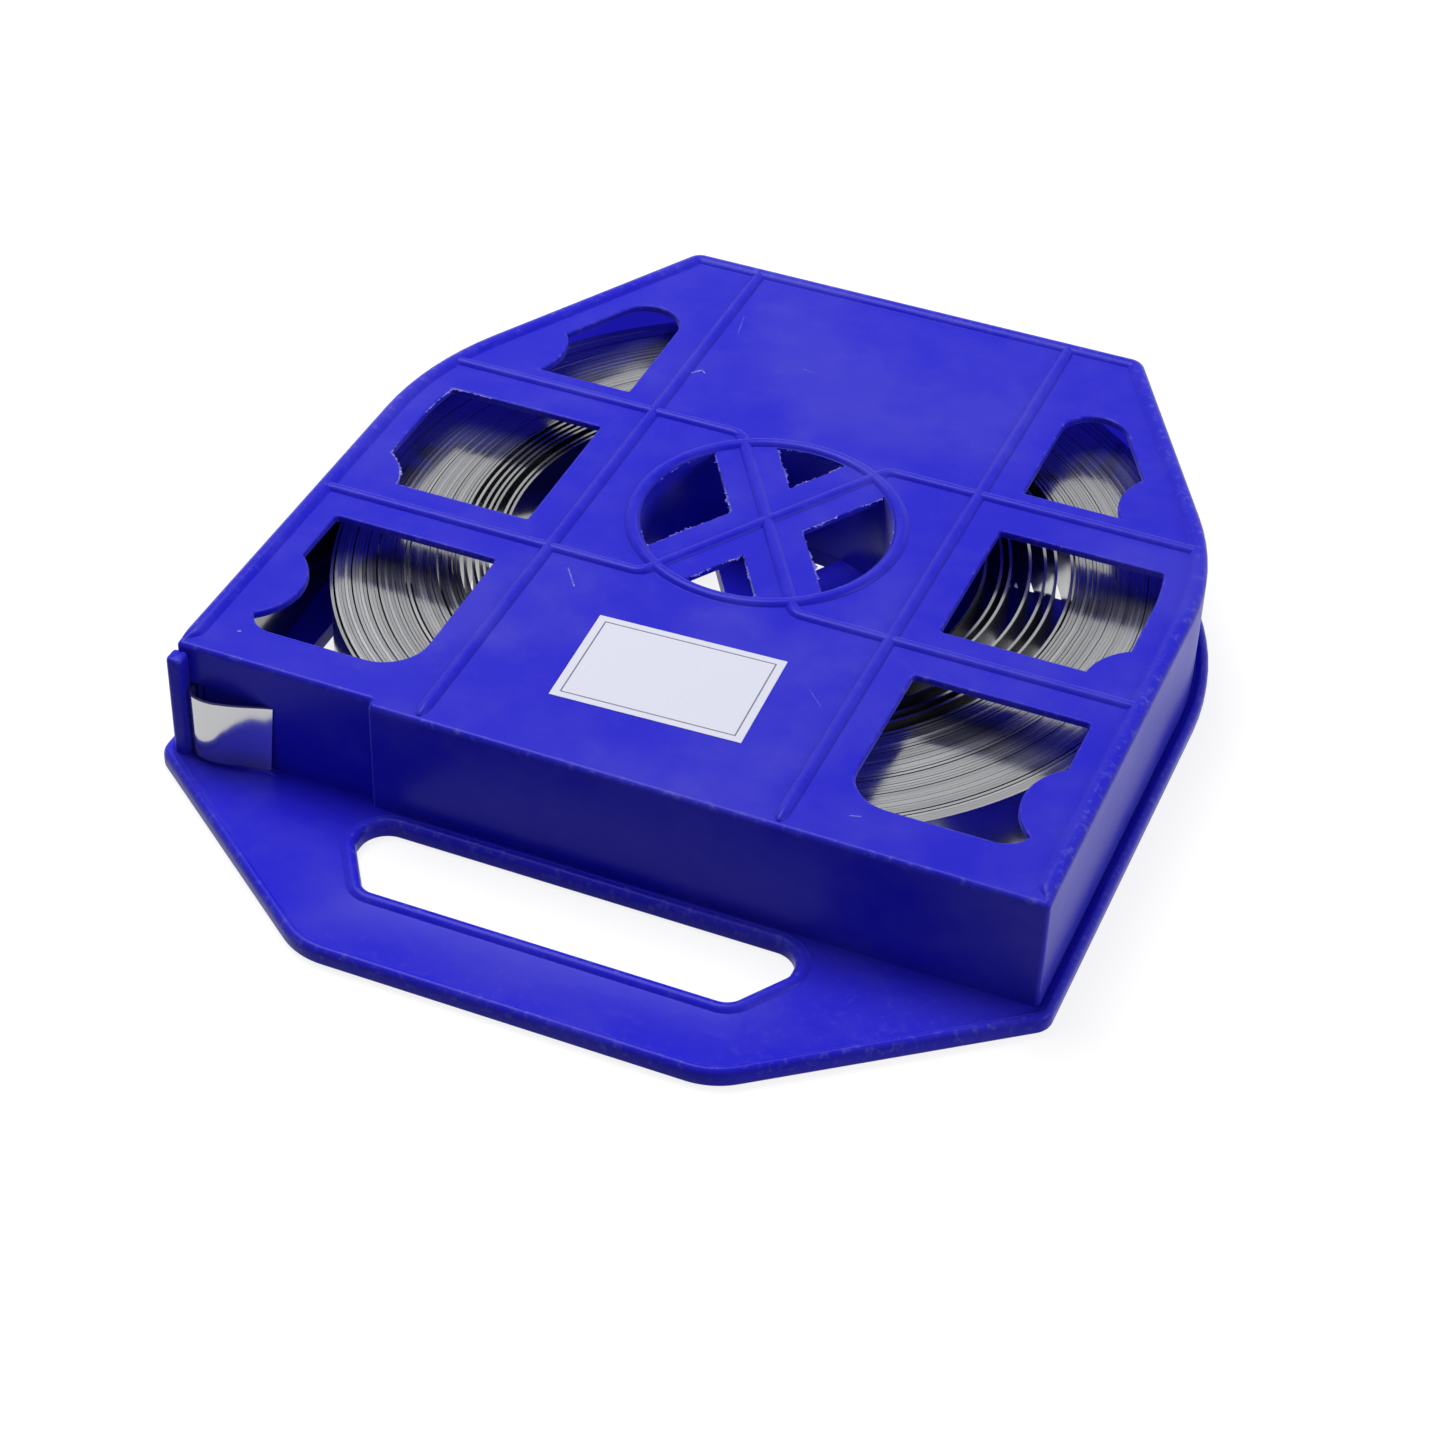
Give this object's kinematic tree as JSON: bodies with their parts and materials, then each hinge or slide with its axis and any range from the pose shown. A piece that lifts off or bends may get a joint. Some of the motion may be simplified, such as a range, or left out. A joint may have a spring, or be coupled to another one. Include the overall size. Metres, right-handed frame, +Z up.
{
  "type": "coil of steel banding in a plastic carry tote",
  "caption": "Coil of flat steel banding on edge inside a ribbed blue plastic tote with a carry handle, windows, a spoked hub and a corner slot where the band pays out.",
  "frame": {"origin": "hub axis, in the plane of the base's underside", "axes": "+Z up out of the lying tote, +Y away from the carry handle, +X to the right seen from the handle"},
  "size_m": [0.2386, 0.2829, 0.0378],
  "materials": {
    "cover_plastic": "satin blue polypropylene",
    "base_plastic": "satin blue polypropylene",
    "band_steel": "bright cold rolled strip",
    "label_paper": "plain white paper"
  },
  "bodies": {
    "root": {"cover": "cover_plastic", "base": "base_plastic", "steel_band": "band_steel", "label": "label_paper"}
  },
  "joints": []
}
